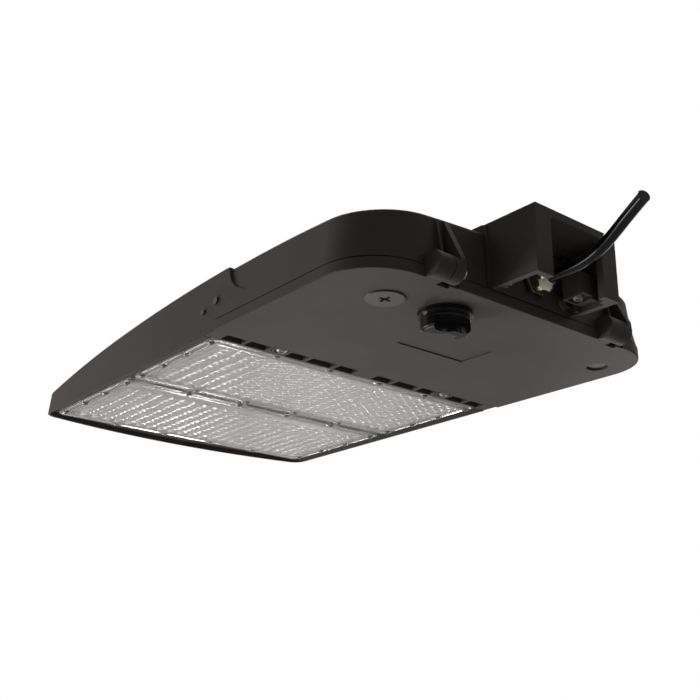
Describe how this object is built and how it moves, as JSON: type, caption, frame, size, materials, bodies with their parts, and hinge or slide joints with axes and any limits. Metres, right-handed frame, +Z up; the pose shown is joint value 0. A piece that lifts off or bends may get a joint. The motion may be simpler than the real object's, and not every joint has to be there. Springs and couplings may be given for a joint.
{
  "type": "shoebox area light",
  "caption": "Flat pole-top area light with lens panels, a drop-down driver door, side blades, a short bolt-on arm and a sealed cable gland.",
  "frame": {"origin": "middle of the arm's top rim, on the face that meets the pole", "axes": "+Y out of the arm towards the pole, +Z up, the light shines along -Z and the nose points along -Y"},
  "size_m": [0.318, 0.6334, 0.076],
  "materials": {
    "bronze_coat": "dark bronze fine-texture powder coat on die-cast aluminium",
    "lens_clear": "clear moulded acrylic with a light grey cast",
    "grey_foam": "closed-cell silicone foam, matt",
    "black_rubber": "matt black rubber",
    "board_white": "white solder mask with yellow phosphor emitters",
    "steel": "passivated stainless steel",
    "zinc_yellow": "zinc-plated steel",
    "nickel_brass": "nickel-plated brass, semi-bright",
    "driver_case": "white-enamelled sheet metal case",
    "nylon_white": "white nylon",
    "nylon_black": "black nylon",
    "black_gloss": "glossy black polycarbonate",
    "black_satin": "satin black nylon"
  },
  "bodies": {
    "housing": {"housing": "bronze_coat", "lens_front": "lens_clear", "lens_rear": "lens_clear", "lens_gasket_front": "grey_foam", "lens_gasket_rear": "grey_foam", "led_board_front": "board_white", "led_board_rear": "board_white", "lens_screws": "steel", "board_screws": "steel", "door_gasket": "black_rubber", "led_driver": "driver_case", "driver_screws": "steel", "surge_protector": "nylon_black", "terminal_block": "nylon_white", "gland_locknut": "nickel_brass", "gland_body": "nickel_brass", "gland_seal": "black_rubber", "gland_nut": "nickel_brass", "supply_cable": "black_rubber", "arm": "bronze_coat", "arm_gasket": "black_rubber", "arm_bolts": "steel", "arm_washers": "steel", "earth_screw": "zinc_yellow", "shield_screws": "steel", "hinge_pins": "steel", "pin_clips": "steel"},
    "door": {"door": "bronze_coat", "sensor_socket": "black_gloss", "socket_nut": "nylon_black", "sensor_gasket": "black_rubber", "selector_switch": "black_satin", "breather_plug": "black_satin"},
    "twist_cap": {"twist_cap": "black_gloss"},
    "cross_plug": {"cross_plug": "black_satin", "plug_oring": "black_rubber"},
    "captive_near": {"captive_screw_near": "steel", "captive_ring_near": "nylon_black"},
    "captive_far": {"captive_screw_far": "steel", "captive_ring_far": "nylon_black"},
    "power_knob": {"power_knob": "nylon_white"},
    "colour_knob": {"colour_knob": "nylon_white"}
  },
  "joints": [
    {"name": "door_swing", "type": "hinge", "parent": "housing", "child": "door", "pos_m": [0, -0.0388, -0.0486], "axis": [1, 0, 0], "range_deg": [0, 100]},
    {"name": "screw_near_travel", "type": "slide", "parent": "door", "child": "captive_near", "axis": [0, 0, -1], "range_m": [0, 0.008]},
    {"name": "screw_far_travel", "type": "slide", "parent": "door", "child": "captive_far", "axis": [0, 0, -1], "range_m": [0, 0.008]},
    {"name": "cap_twist", "type": "hinge", "parent": "door", "child": "twist_cap", "pos_m": [0.0515, -0.0823, -0.0575], "axis": [0, 0, 1], "range_deg": [0, 35]},
    {"name": "plug_turn", "type": "hinge", "parent": "door", "child": "cross_plug", "pos_m": [0.1035, -0.0893, -0.0575], "axis": [0, 0, 1], "range_deg": [0, 90]},
    {"name": "power_slide", "type": "slide", "parent": "door", "child": "power_knob", "axis": [1, 0, 0], "range_m": [-0.003, 0.003]},
    {"name": "colour_slide", "type": "slide", "parent": "door", "child": "colour_knob", "axis": [1, 0, 0], "range_m": [-0.003, 0.003]}
  ]
}
